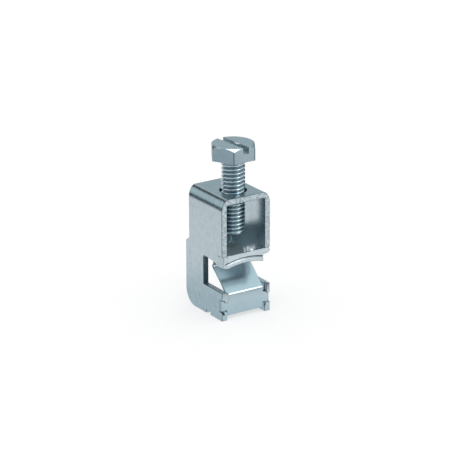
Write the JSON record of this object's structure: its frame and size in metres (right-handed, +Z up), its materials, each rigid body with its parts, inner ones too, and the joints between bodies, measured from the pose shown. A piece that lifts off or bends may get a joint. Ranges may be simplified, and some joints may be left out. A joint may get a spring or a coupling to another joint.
{
  "type": "busbar clamp",
  "caption": "Folded steel clamp for a flat busbar, with a wire chamber under a slotted hexagon screw and a spring in its open jaw.",
  "frame": {"origin": "on the surface that the clamp stands on, under the middle of its width and depth", "axes": "+Z up along the clamping screw, the jaw opens towards -Y, +X across the two side plates"},
  "size_m": [0.014, 0.0164, 0.0431],
  "materials": {
    "zinc_sheet": "satin zinc plating, blue passivated",
    "zinc_screw": "zinc plating, blue passivated",
    "spring_sheet": "smooth zinc plated spring sheet"
  },
  "bodies": {
    "clamp": {"frame": "zinc_sheet", "bar_spring": "spring_sheet"},
    "screw": {"clamp_screw": "zinc_screw"}
  },
  "joints": [
    {"name": "screw_travel", "type": "slide", "parent": "clamp", "child": "screw", "axis": [0, 0, 1], "range_m": [-0.0023, 0.0075]}
  ]
}
